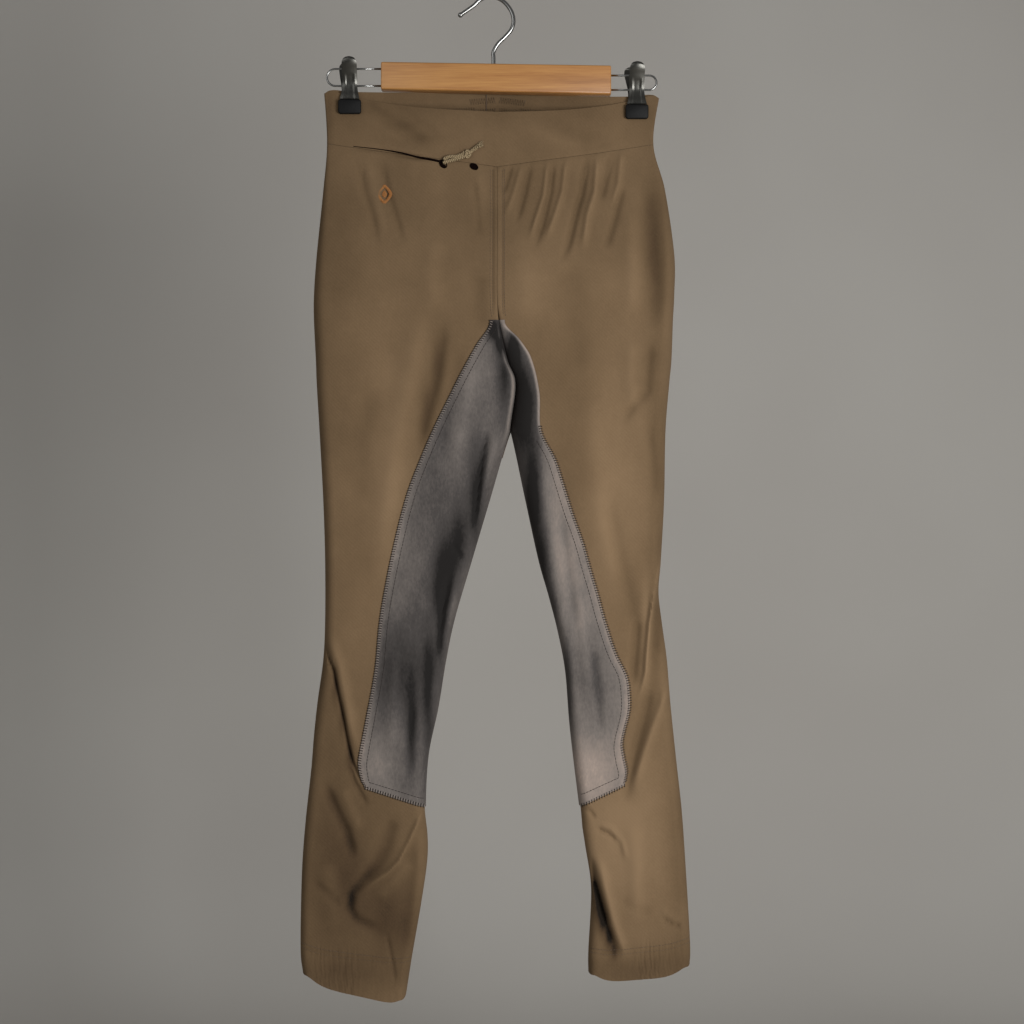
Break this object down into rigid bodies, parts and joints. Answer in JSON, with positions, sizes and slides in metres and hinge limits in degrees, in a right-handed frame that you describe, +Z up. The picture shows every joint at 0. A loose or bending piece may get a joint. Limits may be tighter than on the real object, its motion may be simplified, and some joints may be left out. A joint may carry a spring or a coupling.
{
  "type": "riding pants on a clip hanger",
  "caption": "Brown pull-on riding pants with grey suede grip patches and a short drawcord, hanging flat from a wooden clip hanger.",
  "frame": {"origin": "inside top of the hanger's hook, where it rests on a rail", "axes": "+Z up along the hanging pants; the front of the pants faces -Y; the wearer's left is +X"},
  "size_m": [0.4206, 0.0429, 1.0827],
  "materials": {
    "cloth": "matte",
    "suede": "matte",
    "cord": "matte",
    "wood": "satin",
    "chrome": "polished",
    "clip_steel": "polished",
    "rubber": "matte"
  },
  "bodies": {
    "root": {"waistband_front": "cloth", "waistband_back": "cloth", "front_right": "cloth", "front_left": "cloth", "back_right": "cloth", "back_left": "cloth", "suede_front_right": "suede", "suede_front_left": "suede", "suede_seat_right": "suede", "suede_seat_left": "suede", "drawcord": "cord", "drawcord_loop": "cord", "hanger_bar": "wood", "hanger_hook": "chrome", "hanger_rod_right": "chrome", "hanger_rod_left": "chrome", "clip_right": "clip_steel", "clip_right_rear": "clip_steel", "clip_left": "clip_steel", "clip_left_rear": "clip_steel", "pad_right": "rubber", "pad_right_rear": "rubber", "pad_left": "rubber", "pad_left_rear": "rubber"}
  },
  "joints": []
}
